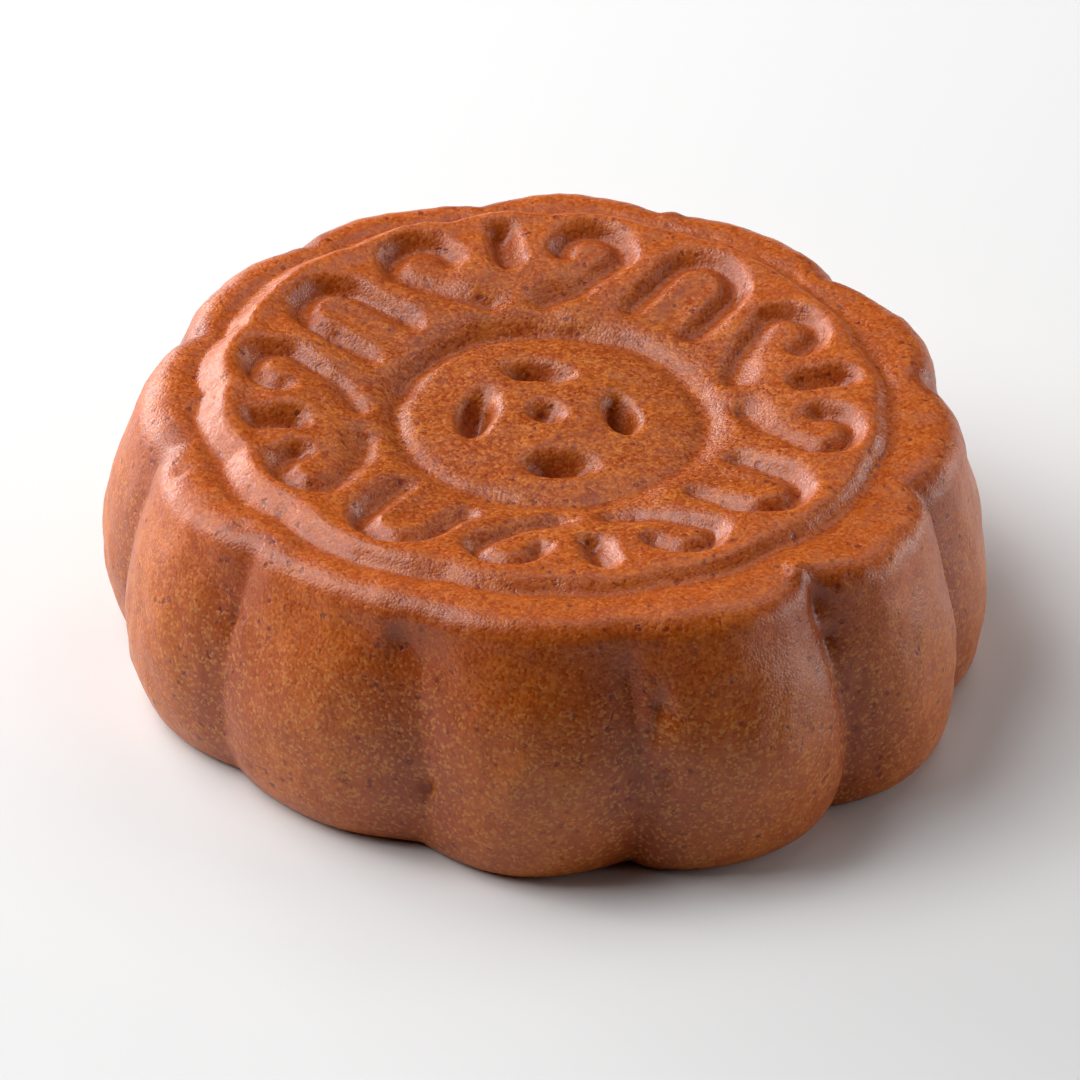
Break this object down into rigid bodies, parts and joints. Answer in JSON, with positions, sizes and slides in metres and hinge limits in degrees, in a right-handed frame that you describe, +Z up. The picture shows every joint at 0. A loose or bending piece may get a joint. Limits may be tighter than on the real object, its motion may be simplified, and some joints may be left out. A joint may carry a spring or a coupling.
{
  "type": "mooncake",
  "caption": "Round baked mooncake with a lobed, full-bellied side and a moulded top: a scalloped rim, a ring of cloud-head and tongue motifs, and a low round boss with dents.",
  "frame": {"origin": "middle of the flat base, at the height of the surface the cake stands on", "axes": "+Z up out of the stamped top, -Y towards the front of the cake, +X to the right"},
  "size_m": [0.0702, 0.0696, 0.0224],
  "materials": {
    "baked_crust": "baked reddish-brown crust, fine crumb grain, satin wash"
  },
  "bodies": {
    "root": {"mooncake": "baked_crust"}
  },
  "joints": []
}
